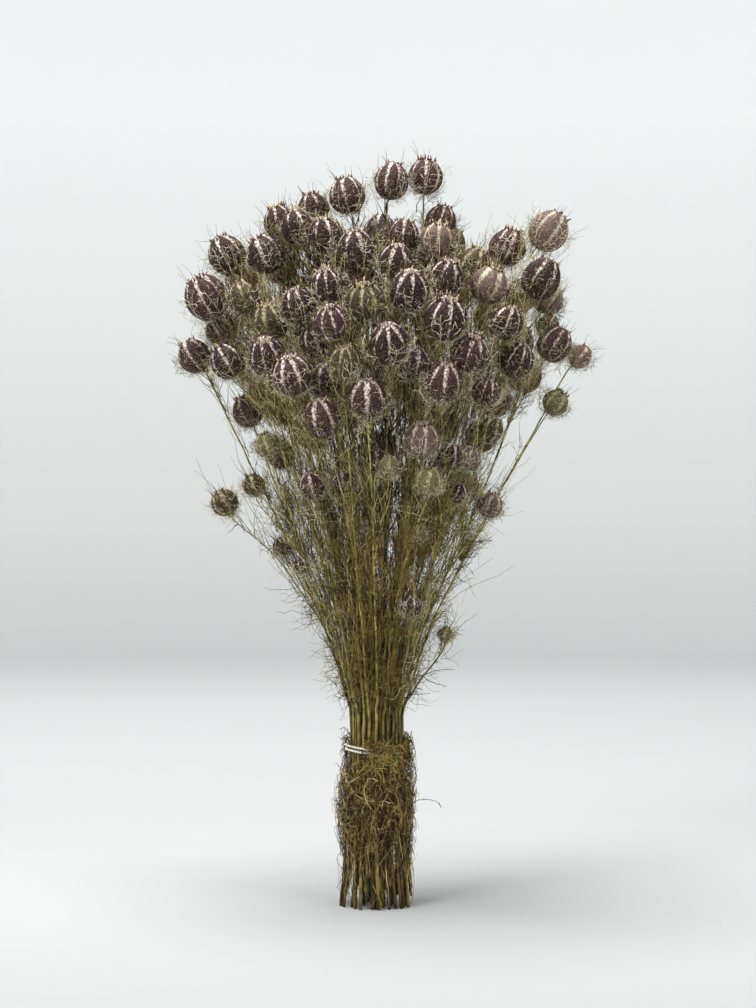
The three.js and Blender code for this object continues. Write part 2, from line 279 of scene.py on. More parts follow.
capsuleLooks = {
    "maroon": {"deep": (0.004, 0.002, 0.003), "cheek": (0.019, 0.007, 0.0105), "blush": (0.052, 0.019, 0.026),
               "seam": (0.66, 0.6, 0.52), "seamTint": (0.12, 0.064, 0.066), "ends": (0.06, 0.042, 0.02),
               "mist": (0.25, 0.2, 0.125), "cheekWidth": 0.45},
    "plum": {"deep": (0.008, 0.004, 0.006), "cheek": (0.036, 0.014, 0.019), "blush": (0.092, 0.037, 0.045),
             "seam": (0.68, 0.61, 0.53), "seamTint": (0.16, 0.09, 0.09), "ends": (0.08, 0.06, 0.03),
             "mist": (0.28, 0.23, 0.15), "cheekWidth": 0.42},
    "rose": {"deep": (0.045, 0.026, 0.024), "cheek": (0.13, 0.072, 0.068), "blush": (0.25, 0.16, 0.14),
             "seam": (0.56, 0.52, 0.4), "seamTint": (0.24, 0.19, 0.13), "ends": (0.15, 0.125, 0.055),
             "mist": (0.38, 0.34, 0.2), "cheekWidth": 0.39},
    "olive": {"deep": (0.01, 0.008, 0.005), "cheek": (0.045, 0.032, 0.018), "blush": (0.1, 0.075, 0.04),
              "seam": (0.4, 0.36, 0.22), "seamTint": (0.12, 0.095, 0.05), "ends": (0.09, 0.075, 0.03),
              "mist": (0.26, 0.22, 0.11), "cheekWidth": 0.41},
    "green": {"deep": (0.05, 0.043, 0.02), "cheek": (0.14, 0.12, 0.055), "blush": (0.22, 0.19, 0.095),
              "seam": (0.42, 0.39, 0.22), "seamTint": (0.2, 0.18, 0.085), "ends": (0.16, 0.145, 0.055),
              "mist": (0.36, 0.33, 0.16), "cheekWidth": 0.38},
}
capsuleMaterials = {kind: capsuleMaterial("capsule_" + kind, look) for kind, look in capsuleLooks.items()}


strawTop = 0.42  # the height where the straw's colour stops end


def strawMaterial(name, stops, roughness=0.6):
    # ribbed straw: the colour runs from the brown cut foot to the greener top, streaked along the stalk
    material, tree, shader = newMaterial(name, roughness)
    place = tree.nodes.new("ShaderNodeSeparateXYZ")
    tree.links.new(tree.nodes.new("ShaderNodeTexCoord").outputs["Object"], place.inputs["Vector"])
    height = addMath(tree, "ADD", addMath(tree, "DIVIDE", place.outputs["Z"], strawTop),
                     addSwing(tree, addNoise(tree, 70, 2), 0.35))
    streaks = addNoise(tree, 1100, 3, stretch=(1, 1, 0.05))
    blotches = addNoise(tree, 260, 3)
    light = addRamp(tree, addMath(tree, "MULTIPLY", addMath(tree, "ADD", streaks, blotches), 0.5),
                    [(0.42, 0.3), (0.56, 1.4)])
    colour = addMix(tree, 1.0, addRamp(tree, height, stops), light, "MULTIPLY")
    tree.links.new(colour, shader.inputs["Base Color"])
    addBump(tree, shader, streaks, 0.7, 0.0006)
    return material


stalkMaterials = [
    strawMaterial("straw_stalk", [
        (0.0, (0.16, 0.115, 0.034)), (0.16, (0.2, 0.15, 0.04)), (0.3, (0.25, 0.21, 0.055)),
        (0.55, (0.38, 0.34, 0.11)), (0.9, (0.28, 0.225, 0.085))]),
    strawMaterial("brown_stalk", [
        (0.0, (0.085, 0.058, 0.018)), (0.16, (0.1, 0.072, 0.019)), (0.3, (0.13, 0.105, 0.026)),
        (0.55, (0.25, 0.215, 0.065)), (0.9, (0.22, 0.175, 0.065))]),
]


def threadMaterial(name, dark, light, roughness=0.7):
    material, tree, shader = newMaterial(name, roughness)
    patches = addMath(tree, "ADD", addMath(tree, "MULTIPLY", addNoise(tree, 90, 2), 0.6),
                      addMath(tree, "MULTIPLY", addNoise(tree, 700, 2), 0.4))
    tree.links.new(addRamp(tree, patches, [(0.38, dark), (0.6, light)]), shader.inputs["Base Color"])
    return material


leafMaterials = [
    threadMaterial("leaf_olive", (0.07, 0.055, 0.011), (0.31, 0.255, 0.062)),
    threadMaterial("leaf_straw", (0.32, 0.27, 0.1), (0.8, 0.7, 0.4)),
    # the darkest leaf brown, used for real brown leaves and as painted shade for the leaves in the bunch's core
    threadMaterial("leaf_brown", (0.009, 0.006, 0.002), (0.046, 0.03, 0.008)),
    threadMaterial("leaf_gold", (0.1, 0.068, 0.014), (0.36, 0.25, 0.065)),
    threadMaterial("leaf_green", (0.12, 0.12, 0.025), (0.33, 0.34, 0.09)),
]
olive, straw, brown, gold, green = range(5)
bractMaterials = [
    threadMaterial("bract_tan", (0.58, 0.49, 0.33), (0.93, 0.86, 0.68)),
    threadMaterial("bract_olive", (0.16, 0.14, 0.045), (0.4, 0.355, 0.13)),
    threadMaterial("bract_umber", (0.035, 0.022, 0.014), (0.11, 0.072, 0.045)),
]
tanBract, oliveBract, umberBract = range(3)
crownMaterials = [
    threadMaterial("crown_red", (0.035, 0.014, 0.014), (0.13, 0.055, 0.045), 0.5),
    threadMaterial("crown_pale", (0.3, 0.25, 0.12), (0.6, 0.54, 0.33), 0.5),
]
darkTip, paleTip = range(2)
matMaterials = [
    threadMaterial("mat_brown", (0.008, 0.005, 0.0015), (0.045, 0.028, 0.007)),
    threadMaterial("mat_olive", (0.1, 0.068, 0.013), (0.48, 0.35, 0.1)),
    threadMaterial("mat_tan", (0.36, 0.27, 0.12), (0.7, 0.57, 0.33)),
]
brownMat, oliveMat, tanMat = range(3)
stringMaterial = threadMaterial("string_cotton", (0.55, 0.53, 0.47), (0.85, 0.83, 0.76), 0.85)
print("materials made")


# threads: many fine tapering hairs drawn as one curve and turned into a mesh

def anyDirection():
    return Vector((chance.gauss(0, 1), chance.gauss(0, 1), chance.gauss(0, 1))).normalized()


def curlThread(start, heading, length, steps, wander):
    points = [start.copy()]
    heading = heading.normalized()
    for _ in range(steps):
        heading = (heading + anyDirection() * wander).normalized()
        points.append(points[-1] + heading * (length / steps))
    return points


def makeSection(sides):
    outline = bpy.data.curves.new("thread_section", "CURVE")
    outline.dimensions = "2D"
    spline = outline.splines.new("POLY")
    spline.points.add(sides - 1)
    for i, point in enumerate(spline.points):
        turn = -2 * math.pi * i / sides
        point.co = (math.cos(turn), math.sin(turn), 0, 1)
    spline.use_cyclic_u = True
    section = bpy.data.objects.new("thread_section", outline)
    bpy.context.scene.collection.objects.link(section)
    return section


hairSection, stalkSection = makeSection(3), makeSection(6)


def makePiece(name, mesh):
    piece = bpy.data.objects.new(name, mesh)
    bpy.context.scene.collection.objects.link(piece)
    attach(piece, "root")
    return piece


def makeThreads(name, threads, materials, section=hairSection, taper=1.0):
    # each thread is its points, its radius at the root and at the tip, and which material it takes
    curve = bpy.data.curves.new(name, "CURVE")
    curve.dimensions = "3D"
    curve.bevel_mode = "OBJECT"
    curve.bevel_object = section
    curve.use_fill_caps = True
    for material in materials:
        curve.materials.append(material)
    for points, rootRadius, tipRadius, look in threads:
        spline = curve.splines.new("POLY")
        spline.points.add(len(points) - 1)
        spline.material_index = look
        last = len(points) - 1
        flat, radii = [], []
        for i, point in enumerate(points):
            flat += [point.x, point.y, point.z, 1]
            radii.append(tipRadius + (rootRadius - tipRadius) * (1 - i / last) ** taper)
        spline.points.foreach_set("co", flat)
        spline.points.foreach_set("radius", radii)
    drawn = bpy.data.objects.new(name + "_drawn", curve)
    bpy.context.scene.collection.objects.link(drawn)
    mesh = bpy.data.meshes.new_from_object(drawn.evaluated_get(bpy.context.evaluated_depsgraph_get()))
    bpy.data.objects.remove(drawn)
    bpy.data.curves.remove(curve)
    mesh.name = name
    shape = bmesh.new()
    shape.from_mesh(mesh)
    bmesh.ops.remove_doubles(shape, verts=shape.verts, dist=0.002 * mm)
    shape.to_mesh(mesh)
    shape.free()
    mesh.shade_smooth()
    return makePiece(name, mesh)


def smoothPath(corners, share):
    # a Catmull-Rom line through the corners, with share points to each stretch
    ends = [corners[0] * 2 - corners[1]] + corners + [corners[-1] * 2 - corners[-2]]
    points = []
    for a, b, c, d in zip(ends, ends[1:], ends[2:], ends[3:]):
        for i in range(share):
            t = i / share
            points.append(0.5 * ((2 * b) + (c - a) * t + (2 * a - 5 * b + 4 * c - d) * t * t
                                 + (3 * b - a - 3 * c + d) * t ** 3))
    points.append(corners[-1].copy())
    return points


# stalks: the stem of each plant with its side shoots

stalkSizes = {"footRadius": 1.15 * mm, "topRadius": 0.46 * mm, "shootRadius": 0.46 * mm, "shootTaper": 0.7,
              "wobble": 0.5 * mm, "neck": 7 * mm, "neckRoom": 4 * mm, "taper": 2.6, "splayTop": 38 * mm,
              "splay": 2.2 * mm, "splayOut": 40, "strawShare": 0.55}


def stalkLine(pod):
    base = pod["centre"] - pod["axis"] * pod["radius"]
    neck = base - pod["axis"] * stalkSizes["neck"]
    corners = [point for point in pod["path"][:-1] if point.z < neck.z - stalkSizes["neckRoom"]]
    return smoothPath(corners + [neck, base], 5)


def makeStalk(plantName, pods):
    threads = []
    for pod in pods:
        line = stalkLine(pod)
        for point in line[1:-6]:
            point += anyDirection() * stalkSizes["wobble"] * chance.random()
        lean = Vector((line[0].x, line[0].y, 0)) * stalkSizes["splayOut"]
        lean += Vector((chance.uniform(-1, 1), chance.uniform(-1, 1), 0))
        for point in line:
            share = max(0, 1 - point.z / stalkSizes["splayTop"])
            point += lean.normalized() * stalkSizes["splay"] * chance.uniform(0.9, 1.1) * share ** 1.5
        pod["line"] = line
        if pod["open"]:
            thick = chance.uniform(0.75, 1.15)
            threads.append((line, stalkSizes["footRadius"] * thick, stalkSizes["topRadius"], 0))
        else:
            thin = stalkSizes["shootRadius"] * stalkSizes["shootTaper"]
            threads.append((line, stalkSizes["shootRadius"], thin, 0))
    straw = stalkMaterials[0 if chance.random() < stalkSizes["strawShare"] else 1]
    stalk = makeThreads(plantName.replace("stem", "stalk"), threads, [straw], stalkSection,
                        stalkSizes["taper"])
    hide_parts(plantName)


for plantName, pods in plants.items():
    makeStalk(plantName, pods)
print("stalks grown")


# capsules: inflated, lobed, broad low down, with a sunken crown

capsuleShape = {"rows": 16, "columnsPerCheek": 6, "height": 1.02, "bulge": 0.13, "swell": 0.6, "fullness": 0.82,
                "shoulder": 0.3, "shoulderStart": 0.45, "shoulderEase": 1.4, "shoulderSpan": 0.433,
                "crownStart": 0.86, "crownDip": 0.3, "crownLobe": 0.12, "likeReach": 7.5, "nearSide": 15 * mm,
                "smallRadius": 7.6 * mm, "pole": 1e-4}
unlikePlaces = [  # the near capsules by where they sit across and up, in millimetres, and the kind each one is
    (35, 384, "rose"), (65, 355, "rose"), (-6, 343, "olive"), (-17, 413, "plum"), (9, 420, "plum"),
    (30, 424, "plum"), (100, 391, "rose"), (94, 361, "maroon"), (-16, 312, "olive"), (-59, 335, "olive"),
    (-43, 342, "maroon"), (51, 315, "plum"), (-105, 318, "plum"), (-28, 280, "plum"), (29, 268, "rose"),
    (26, 248, "green"), (7, 253, "green"), (103, 291, "green"), (118, 318, "rose"), (65, 232, "rose"),
    (-75, 349, "olive"), (20, 216, "green"), (-7, 221, "green"), (18, 175, "plum"), (40, 158, "green"),
    (-87, 234, "olive"), (-70, 244, "olive"), (42, 239, "maroon"), (36, 300, "plum"), (5, 318, "maroon"),
    (-5, 291, "plum"), (38, 333, "maroon"), (-58, 269, "green"), (-45, 393, "maroon"), (-36, 243, "plum"),
    (-18, 244, "plum"), (-29, 301, "maroon"), (104, 350, "rose"), (78, 313, "maroon"),
]


def capsuleKind(pod):
    x, z = pod["centre"].x / mm, pod["centre"].z / mm
    if pod["centre"].y < capsuleShape["nearSide"]:
        near = min(unlikePlaces, key=lambda place: math.hypot(place[0] - x, place[1] - z))
        if math.hypot(near[0] - x, near[1] - z) < capsuleShape["likeReach"]:
            return near[2]
    if pod["radius"] < capsuleShape["smallRadius"]:
        return chance.choice(["maroon", "plum", "plum", "olive", "rose"])
    return chance.choice(["maroon"] * 6 + ["plum"] * 4 + ["olive"])


def capsulePoint(point, cheeks):
    # a point of the unit ball moved on to the capsule's own form
    turn = math.atan2(point.y, point.x)
    up = math.acos(-max(-1, min(1, point.z))) / math.pi  # 0 at the stalk, 1 at the crown
    around = math.hypot(point.x, point.y)
    swell = abs(math.sin(turn * cheeks / 2))  # 1 mid cheek, 0 in a seam
    shoulder = max(0, up - capsuleShape["shoulderStart"]) ** capsuleShape["shoulderEase"]
    shoulder /= capsuleShape["shoulderSpan"]
    widest = around ** capsuleShape["fullness"] * (1 - capsuleShape["shoulder"] * shoulder)
    lobe = swell ** capsuleShape["swell"] - capsuleShape["swell"]
    reach = widest * (1 + capsuleShape["bulge"] * lobe * min(1, around * 1.6))
    lift = point.z * capsuleShape["height"]
    if up > capsuleShape["crownStart"]:
        sink = (up - capsuleShape["crownStart"]) / (1 - capsuleShape["crownStart"])
        lift -= capsuleShape["crownDip"] * sink ** 1.5
        lift += capsuleShape["crownLobe"] * swell * math.sin(math.pi * sink)
    share = reach / around if around > capsuleShape["pole"] else 0
    return Vector((point.x * share, point.y * share, lift))


def makeCapsule(name, pod):
    cheeks = chance.choice([6, 7, 7, 8]) if pod["radius"] > 8 * mm else chance.choice([5, 6, 6])
    shape = bmesh.new()
    bmesh.ops.create_uvsphere(shape, u_segments=cheeks * capsuleShape["columnsPerCheek"],
                              v_segments=capsuleShape["rows"], radius=1)
    seamMap = shape.loops.layers.uv.new("cheeks")
    for face in shape.faces:
        middle = face.calc_center_median()
        turn = math.atan2(middle.y, middle.x)
        for loop in face.loops:
            point = loop.vert.co
            isPole = math.hypot(point.x, point.y) <= capsuleShape["pole"]
            away = 0 if isPole else math.atan2(point.y, point.x) - turn
            away = (away + math.pi) % (2 * math.pi) - math.pi
            up = math.acos(-max(-1, min(1, point.z))) / math.pi
            loop[seamMap].uv = ((turn + away) / (2 * math.pi) * cheeks, up)
    for vert in shape.verts:
        vert.co = capsulePoint(vert.co, cheeks)
    sideways = pod["side"].cross(pod["axis"]).normalized()
    forward = pod["axis"].cross(sideways)
    turned = Matrix((sideways, forward, pod["axis"])).transposed().to_4x4()
    wide, deep, tall = chance.uniform(0.95, 1.03), chance.uniform(0.95, 1.03), chance.uniform(0.96, 1.1)
    stretch = Matrix.Diagonal((wide, deep, tall, 1))
    placed = Matrix.Translation(pod["centre"]) @ turned @ stretch @ Matrix.Scale(pod["radius"], 4)
    bmesh.ops.transform(shape, verts=shape.verts, matrix=placed)
    mesh = bpy.data.meshes.new(name)
    shape.to_mesh(mesh)
    shape.free()
    mesh.materials.append(capsuleMaterials[capsuleKind(pod)])
    mesh.shade_smooth()
    pod["cheeks"] = cheeks
    pod["sideways"], pod["forward"] = sideways, forward
    return makePiece(name, mesh)


for plantName, pods in plants.items():
    for i, pod in enumerate(pods):
        makeCapsule(plantName.replace("stem", "capsule") + "_" + "abc"[i], pod)
print("capsules made")


# crowns: a ragged ring of short dark and pale tips, with kinked styles that stand up off it

crownSizes = {"ring": 0.42, "base": 0.86, "styleBase": 0.95,
              "tipsPerCheek": 3, "tipThick": 0.075, "tipFine": 0.02,
              "styles": 5, "style": 0.15 * mm, "fine": 0.07 * mm, "shortStyle": 8 * mm, "longStyle": 11 * mm,
              "bristles": 9, "bristleOut": 1.04, "bristle": 0.11 * mm, "bristleFine": 0.05 * mm}


def outwardAt(pod, turn):
    return pod["sideways"] * math.cos(turn) + pod["forward"] * math.sin(turn)


def growCrown(pod):
    threads = []
    radius, axis, centre = pod["radius"], pod["axis"], pod["centre"]
    tips = pod["cheeks"] * crownSizes["tipsPerCheek"]
    for i in range(tips):
        outward = outwardAt(pod, 2 * math.pi * (i + chance.uniform(0, 0.8)) / tips)
        ring = crownSizes["ring"] * chance.uniform(0.75, 1.25)
        rise = crownSizes["base"] - 0.35 * (ring - crownSizes["ring"])
        root = centre + outward * radius * ring + axis * radius * rise
        tip = root + (outward * chance.uniform(-0.05, 0.2) + axis * chance.uniform(0.1, 0.32)) * radius
        look = chance.choice([darkTip, darkTip, paleTip])
        threads.append(([root, tip], crownSizes["tipThick"] * radius, crownSizes["tipFine"] * radius, look))
    for _ in range(crownSizes["styles"]):
        outward = outwardAt(pod, chance.uniform(0, 2 * math.pi))
        root = centre + outward * radius * crownSizes["ring"] + axis * radius * crownSizes["styleBase"]
        heading = outward * chance.uniform(0.1, 0.9) + axis
        length = chance.uniform(0.5, 1.15) * min(max(radius, crownSizes["shortStyle"]), crownSizes["longStyle"])
        style = curlThread(root, heading, length, 4, 0.2)
        threads.append((style, crownSizes["style"], crownSizes["fine"], darkTip))
    for _ in range(crownSizes["bristles"]):
        outward = outwardAt(pod, chance.uniform(0, 2 * math.pi))
        root = centre + outward * radius * crownSizes["bristleOut"] + axis * radius * chance.uniform(-0.5, 0.5)
        heading = outward * chance.uniform(0.2, 0.7) + axis * chance.uniform(0.6, 1.2)
        length = chance.uniform(0.5, 1.2) * radius
        bristle = curlThread(root, heading, length, 3, 0.3)
        threads.append((bristle, crownSizes["bristle"], crownSizes["bristleFine"], darkTip))
    return threads


# bracts: a mist of forked threads that cups the lower half of each capsule, with short flecks round it

bractSizes = {"count": 8, "pairs": 5, "flecks": 320, "fleckBase": 1.03, "fleckOut": 0.42,
              "spine": 0.12 * mm, "thread": 0.1 * mm, "tip": 0.065 * mm}


def growBract(pod, turn):
    radius, axis, centre = pod["radius"], pod["axis"], pod["centre"]
    outward = outwardAt(pod, turn)
    sideways = axis.cross(outward)
    sway = sideways * chance.uniform(-0.35, 0.35)
    reach = chance.uniform(0.96, 1.12)
    corners = [centre - axis * radius]
    for out, up in ((0.72, -0.95), (1.14, -0.45), (1.2, 0.05), (1.1, chance.uniform(0.3, 0.6))):
        offset = outward * out + axis * up + sway * (up + 1) + anyDirection() * 0.07
        corners.append(centre + offset * radius * reach)
    spine = smoothPath(corners, 2)
    look = chance.choice([tanBract, tanBract, oliveBract, oliveBract, umberBract])
    threads = [(spine, bractSizes["spine"], bractSizes["tip"], look)]
    for k in range(bractSizes["pairs"]):
        j = int((k + chance.random()) / bractSizes["pairs"] * (len(spine) - 1))
        onward = (spine[j + 1] - spine[j]).normalized()
        for side in (-1, 1):
            heading = sideways * side * chance.uniform(0.4, 1.2) + onward * chance.uniform(0.1, 0.9)
            heading += outward * chance.uniform(-0.1, 0.5)
            length = radius * chance.uniform(0.3, 0.65)
            branch = curlThread(spine[j], heading, length, 2, 0.6)
            threads.append((branch, bractSizes["thread"], bractSizes["tip"], look))
            fork = curlThread(branch[1], heading + anyDirection(), length * 0.5, 1, 0)
            threads.append((fork, bractSizes["thread"], bractSizes["tip"], look))
    return threads


def growBracts(pod):
    radius, axis, centre = pod["radius"], pod["axis"], pod["centre"]
    threads = []
    for i in range(bractSizes["count"]):
        threads += growBract(pod, 2 * math.pi * (i + chance.uniform(-0.4, 0.4)) / bractSizes["count"])
    for _ in range(bractSizes["flecks"]):
        up = 1.5 * chance.random() ** 1.3 - 1  # most lie low on the capsule
        outward = outwardAt(pod, chance.uniform(0, 2 * math.pi))
        shell = outward * math.sqrt(max(0, 1 - up * up)) + axis * up
        reach = bractSizes["fleckBase"] + bractSizes["fleckOut"] * chance.random() ** 1.5
        root = centre + shell * radius * reach
        heading = anyDirection() + axis * 0.3 + shell * 0.2
        look = chance.choice([tanBract, tanBract, oliveBract, oliveBract, umberBract])
        fleck = curlThread(root, heading, chance.uniform(1.5, 4.2) * mm, 2, 0.6)
        threads.append((fleck, bractSizes["thread"], bractSizes["tip"], look))
    return threads


for plantName, pods in plants.items():
    crowns, bracts = [], []
    for pod in pods:
        crowns += growCrown(pod)
        bracts += growBracts(pod)
    makeThreads(plantName.replace("stem", "styles"), crowns, crownMaterials)
    makeThreads(plantName.replace("stem", "bracts"), bracts, bractMaterials)
print("crowns and bracts grown")


# thread leaves: long dry fibres that run up with the fan, and feathery leaves that fork off the stalks

leafSizes = {
    "lowest": 0.118, "lowTop": 0.238, "gapTop": 0.285, "domeRadius": 0.1, "waist": 0.0158, "goldTop": 0.215,
    "lowFibres": 36, "curls": 58, "neckFibres": 5, "feathers": 12, "pairs": 3,
    "middleFibres": 72, "middleFrom": 0.215, "middleTo": 0.37,
    "domeFibres": 135, "domeDrop": 76, "fluff": 14, "strayFibres": 8, "strayRadius": 8 * mm,
    "crownHeight": 0.4, "crownFluff": 3, "crownBare": 0.365,  # the highest capsules stand on nearly bare stalks
    "closeTop": 0.315,  # below this a lone outer stalk holds its leaves close
    "lowPodTop": 0.262, "nearSide": -20 * mm, "lowPodRoom": 1.15,
    "fibreRadius": 0.2 * mm, "coreRadius": 0.42 * mm, "spine": 0.17 * mm, "thread": 0.13 * mm, "tip": 0.08 * mm,
}


def depthAt(point):
    # 0 on the bunch's axis, 1 at its edge
    return math.hypot(point.x, point.y) / min(leafSizes["waist"] * spreadAt(point.z), leafSizes["domeRadius"])


def fanDirection(point):
    rise = (point.z - plantFacts["waistHeight"]) / plantFacts["upperFlare"] ** 2
    lean = rise / (1 + rise * (point.z - plantFacts["waistHeight"]))
    return Vector((point.x * lean, point.y * lean, 1)).normalized()


def leafLook(point):
    depth = depthAt(point)
    # painted shade: in the bunch's core the leaves take mostly the darkest brown, standing in for the shade
    # deep inside the bunch
    if depth < 0.55:
        return chance.choice([brown, brown, brown, olive])
    if point.z < leafSizes["goldTop"] and abs(point.x) < 0.6 * leafSizes["waist"] * spreadAt(point.z):
        return chance.choice([gold, gold, gold, brown, olive])
    if point.z < leafSizes["goldTop"]:
        return chance.choice([olive, olive, straw, gold, brown, green])
    if depth > 0.8 and point.z > leafSizes["gapTop"]:
        return chance.choice([straw, straw, straw, olive, olive, gold, brown])
    return chance.choice([olive, olive, straw, straw, brown, brown, green, gold])


def growFibre(root, length, steps, wander, stray=0.25):
    points = [root]
    heading = (fanDirection(root) + anyDirection() * stray).normalized()
    for _ in range(steps):
        heading = (heading + fanDirection(points[-1]) * 0.3 + anyDirection() * wander).normalized()
        points.append(points[-1] + heading * (length / steps))
    isCore = depthAt(root) < 0.5
    thick = leafSizes["coreRadius"] if isCore else leafSizes["fibreRadius"]
    return (points, thick * chance.uniform(0.7, 1.3), leafSizes["tip"], leafLook(root))


def growCurl(root):
    # an old leaf that has dried into a tangle
    outward = Vector((root.x, root.y, 0)).normalized()
    points = curlThread(root, anyDirection() + outward * 0.3, chance.uniform(9, 24) * mm, 5, 0.75)
    return (points, leafSizes["spine"] * chance.uniform(0.8, 1.3), leafSizes["tip"], leafLook(root))


def growFeather(root, along):
    outward = Vector((root.x, root.y, 0)).normalized()
    heading = anyDirection() * 0.7 + outward * 0.35 + along * 0.9
    spine = curlThread(root, heading, chance.uniform(11, 24) * mm, 4, 0.3)
    look = leafLook(root)
    threads = [(spine, leafSizes["spine"], leafSizes["tip"], look)]
    for k in range(leafSizes["pairs"]):
        j = min(3, 1 + int(3 * chance.random()))
        onward = (spine[j + 1] - spine[j]).normalized()
        for _ in range(2):
            aim = onward * 0.8 + anyDirection() * 0.9
            branch = curlThread(spine[j], aim, chance.uniform(4, 9) * mm, 2, 0.5)
            threads.append((branch, leafSizes["thread"], leafSizes["tip"], look))
            fork = curlThread(branch[1], aim + anyDirection(), chance.uniform(2.5, 5) * mm, 1, 0)
            threads.append((fork, leafSizes["thread"], leafSizes["tip"], look))
    return threads


def isLowPod(pod):
    return pod["centre"].z < leafSizes["lowPodTop"] and pod["centre"].y < leafSizes["nearSide"]


lowPods = [pod for pods in plants.values() for pod in pods if isLowPod(pod)]


def hidesLowPod(thread):
    # the small low capsules on the near side stand clear of the leaves
    middle = thread[0][len(thread[0]) // 2]
    if middle.y > leafSizes["nearSide"]:
        return False
    for pod in lowPods:
        aside = math.hypot(middle.x - pod["centre"].x, middle.z - pod["centre"].z)
        isInFront = middle.y < pod["centre"].y and aside < leafSizes["lowPodRoom"] * pod["radius"]
        if isInFront and chance.random() < 0.85:
            return True
    return False


def linePoint(line, height):
    for a, b in zip(line, line[1:]):
        if b.z > height:
            return a.lerp(b, (height - a.z) / max(b.z - a.z, 1e-6)) if height > a.z else a.copy()
    return line[-1].copy()


def leavesAlong(pod):
    threads = []
    line = pod["line"]
    start = max(leafSizes["lowest"], line[0].z)
    top = pod["centre"].z - pod["radius"] * 0.9
    lowTop = min(leafSizes["lowTop"], top)
    lowShare = max(0.0, lowTop - start) / (leafSizes["lowTop"] - leafSizes["lowest"])
    for _ in range(round(leafSizes["lowFibres"] * lowShare)):
        root = linePoint(line, chance.uniform(start, lowTop)) + anyDirection() * chance.uniform(0.5, 3) * mm
        threads.append(growFibre(root, chance.uniform(18, 46) * mm, 4, 0.36))
    for _ in range(round(leafSizes["curls"] * lowShare)):
        root = linePoint(line, chance.uniform(start, lowTop)) + anyDirection() * chance.uniform(0.5, 4) * mm
        threads.append(growCurl(root))
    for _ in range(leafSizes["neckFibres"] if pod["open"] else 0):
        root = linePoint(line, chance.uniform(0.07, 0.1)) + anyDirection() * mm
        threads.append(growFibre(root, chance.uniform(40, 75) * mm, 5, 0.05, 0.04))
    for _ in range(round(leafSizes["middleFibres"] * lowShare)):
        height = chance.uniform(leafSizes["middleFrom"], leafSizes["middleTo"])
        aside = Vector((chance.gauss(0, 4), chance.gauss(0, 4), 0)) * mm
        root = linePoint(line, min(height, top)) + aside
        root -= Vector((root.x, root.y, 0)) * 0.1
        if depthAt(root) < 0.8:
            threads.append(growFibre(root, chance.uniform(18, 36) * mm, 4, 0.4, 0.35))
    # a stray is a small capsule that stands off the bunch
    isStray = pod["radius"] < leafSizes["strayRadius"] and depthAt(pod["centre"]) > 0.95
    isCrown = pod["centre"].z > leafSizes["crownHeight"]
    fluff = leafSizes["crownFluff"] if isCrown else leafSizes["fluff"]
    for _ in range(leafSizes["strayFibres"] if isStray else leafSizes["domeFibres"]):
        height = max(start, top - chance.uniform(0, leafSizes["domeDrop"]) * mm)
        if isCrown and height > leafSizes["crownBare"] and chance.random() < 0.8:
            continue
        across, back = chance.triangular(-fluff, fluff), chance.triangular(-fluff, fluff)
        aside = Vector((across, back, chance.gauss(0, 3))) * mm
        root = linePoint(line, height) + aside
        if depthAt(root) > 0.9 and height < leafSizes["closeTop"]:
            root -= aside * 0.9
        root -= Vector((root.x, root.y, 0)).normalized() * 1.5 * mm
        isGap = leafSizes["lowTop"] < height < leafSizes["gapTop"] and depthAt(root) > 0.75
        if isGap and chance.random() < 0.88:
            continue  # the outer stalks stand bare here, with gaps between them
        if (root - pod["centre"]).length > pod["radius"]:
            threads.append(growFibre(root, chance.uniform(9, 25) * mm, 3, 0.5, 0.65))
    for _ in range(2 if isStray else leafSizes["feathers"]):
        height = chance.uniform(start, top)
        if leafSizes["lowTop"] < height < leafSizes["gapTop"] and chance.random() < 0.6:
            continue
        root = linePoint(line, height)
        threads += growFeather(root, fanDirection(root))
    return [thread for thread in threads if not hidesLowPod(thread)]


for plantName, pods in plants.items():
    leaves = []
    for pod in pods:
        leaves += leavesAlong(pod)
    makeThreads(plantName.replace("stem", "leaves"), leaves, leafMaterials)
print("leaves grown")


# the mat of old leaves round the foot: wavy upright strands, tangled short ones, a few long tan ones across

matSizes = {
    "strands": 3000, "collar": 1000, "crossing": 26, "strandTip": 0.08 * mm, "crossingTip": 0.14 * mm,
    "inner": 16.6 * mm, "overString": 18.4 * mm, "overMat": 20 * mm, "ragged": 3.4 * mm, "top": 100 * mm,
    "collarTop": 101 * mm, "collarLoose": 1.8 * mm, "crossingLoose": 1.6 * mm, "lumps": (0.7, 0.6),
    "windowFrom": 176, "windowTo": 243, "windowFloor": 85 * mm,  # degrees round, and a height
}
# the mat's outline, each place as its height and its reach, in millimetres
matOutline = [(10, 18.4), (25, 19.0), (40, 20.4), (55, 21.6), (70, 21.0), (84, 18.5), (98, 17.8)]


def matReach(height, turn):
    tall = height / mm
    for (low, lowReach), (high, highReach) in zip(matOutline, matOutline[1:]):
        if tall < high or high == matOutline[-1][0]:
            share = max(0, min(1, (tall - low) / (high - low)))
            break
    reach = lowReach + (highReach - lowReach) * share
    broad, fine = matSizes["lumps"]
    lumps = broad * math.sin(3 * turn + 0.09 * tall) + fine * math.sin(7 * turn - 0.13 * tall)
    return (reach + lumps) * mm


def inWindow(point):
    turn = math.degrees(math.atan2(point.y, point.x)) % 360
    return point.z > matSizes["windowFloor"] and matSizes["windowFrom"] < turn < matSizes["windowTo"]


def pushOut(point, least):
    reach = math.hypot(point.x, point.y)
    share = max(1, least / reach)
    return Vector((point.x * share, point.y * share, point.z))


